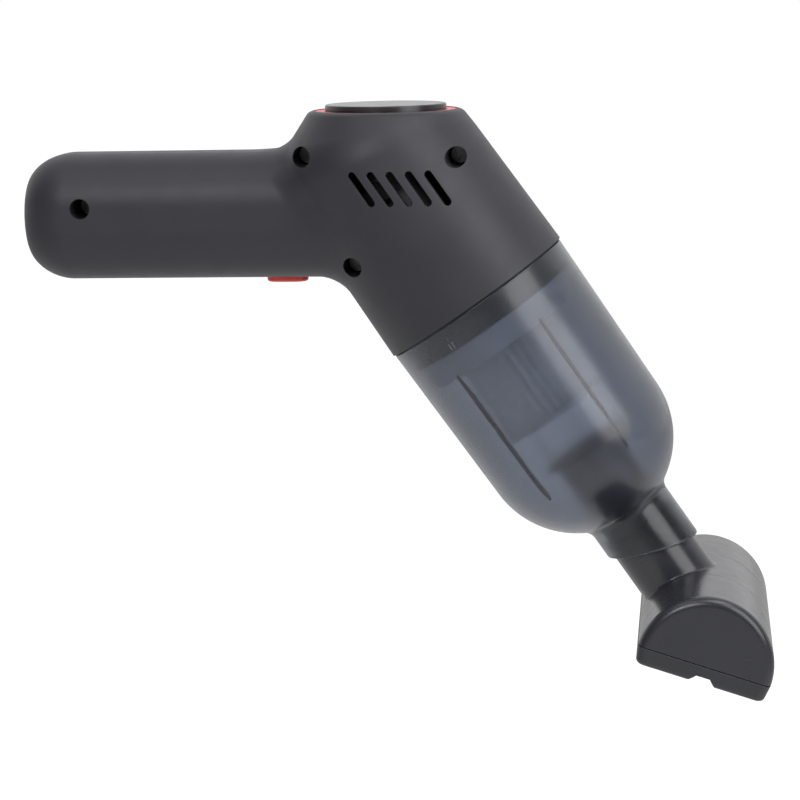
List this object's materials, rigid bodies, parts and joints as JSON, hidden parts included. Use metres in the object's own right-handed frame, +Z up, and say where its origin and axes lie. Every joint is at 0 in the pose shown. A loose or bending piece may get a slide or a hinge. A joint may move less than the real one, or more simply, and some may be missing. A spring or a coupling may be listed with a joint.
{
  "type": "handheld vacuum",
  "caption": "Cordless handheld vacuum: a straight handle, a slanted motor barrel with a round top plate, a smoke-clear dust cup with a pleated filter, and a D-shaped nozzle head.",
  "frame": {"origin": "centre of the grip, on the axis of the handle halfway up its section", "axes": "+X along the handle towards the nozzle, +Y across to the left side, +Z up; the XZ plane is the plane of symmetry of the housing's form"},
  "size_m": [0.2452, 0.096, 0.1867],
  "materials": {
    "housing_plastic": "soft-touch satin",
    "red_plastic": "satin",
    "disc_metal": "brushed and turned edge",
    "screw_steel": "black zinc",
    "spring_steel": "bright",
    "nickel": "bright",
    "switch_plastic": "moulded",
    "plunger_plastic": "moulded",
    "board_green": "solder mask",
    "cell_wrap": "shrink wrap",
    "inner_plastic": "moulded",
    "filter_plastic": "moulded",
    "fan_plastic": "moulded",
    "can_steel": "zinc",
    "bronze": "sintered",
    "magnet": "ferrite",
    "rotor_core": "laminated steel",
    "copper": "bright",
    "rubber": "moulded",
    "smoke_clear": "smoke-tinted clear plastic",
    "tube_plastic": "smoke-tinted clear plastic",
    "filter_paper": "pleated",
    "head_plastic": "satin",
    "sole_plastic": "satin",
    "strip_fabric": "short pile"
  },
  "bodies": {
    "housing": {"right_shell": "housing_plastic", "left_shell": "housing_plastic", "housing_screws": "screw_steel", "trim_ring": "red_plastic", "top_disc": "disc_metal", "disc_clip": "spring_steel", "power_switch": "switch_plastic", "switch_board": "board_green", "battery_cell_right": "cell_wrap", "battery_cell_left": "cell_wrap", "cell_frame_rear": "plunger_plastic", "cell_frame_front": "plunger_plastic", "cell_tab_rear": "nickel", "cell_tab_front": "nickel", "charge_port": "spring_steel", "charge_board": "board_green", "control_board": "board_green", "control_parts": "switch_plastic", "coupling_ring": "inner_plastic", "fan_shroud": "inner_plastic", "motor_can": "can_steel", "motor_end_cap": "switch_plastic", "motor_terminals": "spring_steel", "motor_bushes": "bronze", "motor_magnets": "magnet", "motor_screws": "screw_steel", "motor_mount": "rubber"},
    "button": {"power_button": "red_plastic", "switch_plunger": "plunger_plastic"},
    "rotor": {"motor_shaft": "spring_steel", "armature": "rotor_core", "commutator": "copper", "impeller": "fan_plastic"},
    "filter": {"filter_frame": "filter_plastic", "filter_pleats": "filter_paper", "filter_end_cap": "filter_plastic"},
    "cup_lock": {"cup_seal": "rubber"},
    "cup": {"dust_cup": "smoke_clear", "inlet_tube": "tube_plastic", "flap_pin": "spring_steel"},
    "flap": {"flap_valve": "rubber"},
    "neck_turn": {"neck_o_ring": "rubber"},
    "head": {"head_shell": "head_plastic", "head_sole": "sole_plastic", "lint_strips": "strip_fabric", "sole_screws": "screw_steel"}
  },
  "joints": [
    {"name": "button_press", "type": "slide", "parent": "housing", "child": "button", "axis": [0, 0, 1], "range_m": [0, 0.0013], "stiffness_N_per_m": 1500, "springref_m": -0.0002},
    {"name": "rotor_spin", "type": "hinge", "parent": "housing", "child": "rotor", "pos_m": [0.107, 0, -0.02815], "axis": [0.5687, 0, -0.8225], "continuous": true},
    {"name": "filter_pull", "type": "slide", "parent": "housing", "child": "filter", "axis": [0.5687, 0, -0.8225], "range_m": [0, 0.013]},
    {"name": "cup_turn", "type": "hinge", "parent": "housing", "child": "cup_lock", "pos_m": [0.107, 0, -0.02815], "axis": [0.5687, 0, -0.8225], "range_deg": [0, 20]},
    {"name": "cup_pull", "type": "slide", "parent": "cup_lock", "child": "cup", "axis": [0.5687, 0, -0.8225], "range_m": [0, 0.055]},
    {"name": "flap_swing", "type": "hinge", "parent": "cup", "child": "flap", "pos_m": [0.15354, 0, -0.0705], "axis": [0, 1, 0], "range_deg": [0, 28]},
    {"name": "head_turn", "type": "hinge", "parent": "cup", "child": "neck_turn", "pos_m": [0.16433, 0, -0.11106], "axis": [0.5687, 0, -0.8225], "continuous": true},
    {"name": "head_pull", "type": "slide", "parent": "neck_turn", "child": "head", "axis": [0.5687, 0, -0.8225], "range_m": [0, 0.032]}
  ]
}
